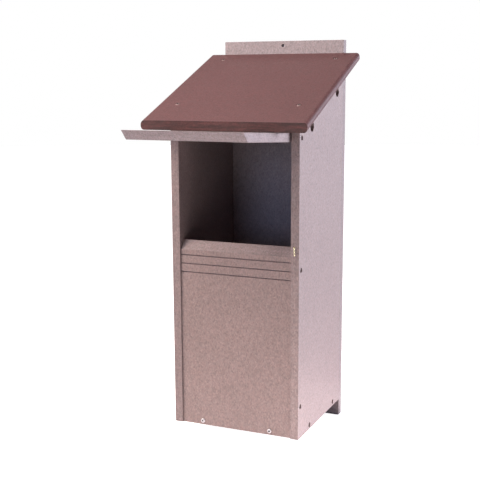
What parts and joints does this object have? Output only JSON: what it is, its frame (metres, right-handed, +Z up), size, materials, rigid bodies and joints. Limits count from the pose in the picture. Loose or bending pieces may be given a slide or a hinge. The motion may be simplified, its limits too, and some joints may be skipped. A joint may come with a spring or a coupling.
{
  "type": "nest box",
  "caption": "Tall post or wall nest box of recycled-plastic boards with a sloping roof, grooved lower front, swing-up front door and turn hook.",
  "frame": {"origin": "centre of the back board's flat rear face, the face that lies against the post or wall", "axes": "+Z up the back board, -Y to the front of the box, +X to the right-hand side seen from the front"},
  "size_m": [0.327, 0.4635, 0.782],
  "materials": {
    "taupe_board": "recycled HDPE lumber, fine speckle, matt",
    "brown_board": "recycled HDPE lumber, red-brown, fine speckle, matt",
    "hook_brass": "bright brass-plated wire",
    "screw_steel": "zinc-plated, slightly dull"
  },
  "bodies": {
    "box": {"left_side_wall": "taupe_board", "right_side_wall": "taupe_board", "back_board": "taupe_board", "floor_panel": "taupe_board", "lower_front_panel": "taupe_board", "roof_panel": "brown_board", "pivot_screw_left": "screw_steel", "front_panel_screw_left_upper": "screw_steel", "front_panel_screw_left_lower": "screw_steel", "floor_screw_left_front": "screw_steel", "floor_screw_left_rear": "screw_steel", "roof_screw_left_front": "screw_steel", "roof_screw_left_rear": "screw_steel", "floor_front_screw_left": "screw_steel", "floor_back_screw_left": "screw_steel", "back_screw_left_upper": "screw_steel", "back_screw_left_middle": "screw_steel", "back_screw_left_lower": "screw_steel", "pivot_screw_right": "screw_steel", "front_panel_screw_right_upper": "screw_steel", "front_panel_screw_right_lower": "screw_steel", "floor_screw_right_front": "screw_steel", "floor_screw_right_rear": "screw_steel", "roof_screw_right_front": "screw_steel", "roof_screw_right_rear": "screw_steel", "floor_front_screw_right": "screw_steel", "floor_back_screw_right": "screw_steel", "back_screw_right_upper": "screw_steel", "back_screw_right_middle": "screw_steel", "back_screw_right_lower": "screw_steel"},
    "door": {"front_door": "taupe_board"},
    "hook": {"latch_hook": "hook_brass"}
  },
  "joints": [
    {"name": "door_hinge", "type": "hinge", "parent": "box", "child": "door", "pos_m": [0, -0.2484, 0.209], "axis": [1, 0, 0], "range_deg": [0, 93]},
    {"name": "hook_turn", "type": "hinge", "parent": "box", "child": "hook", "pos_m": [0.121, -0.2631, 0.012], "axis": [0, 1, 0], "range_deg": [-85, 95]}
  ]
}
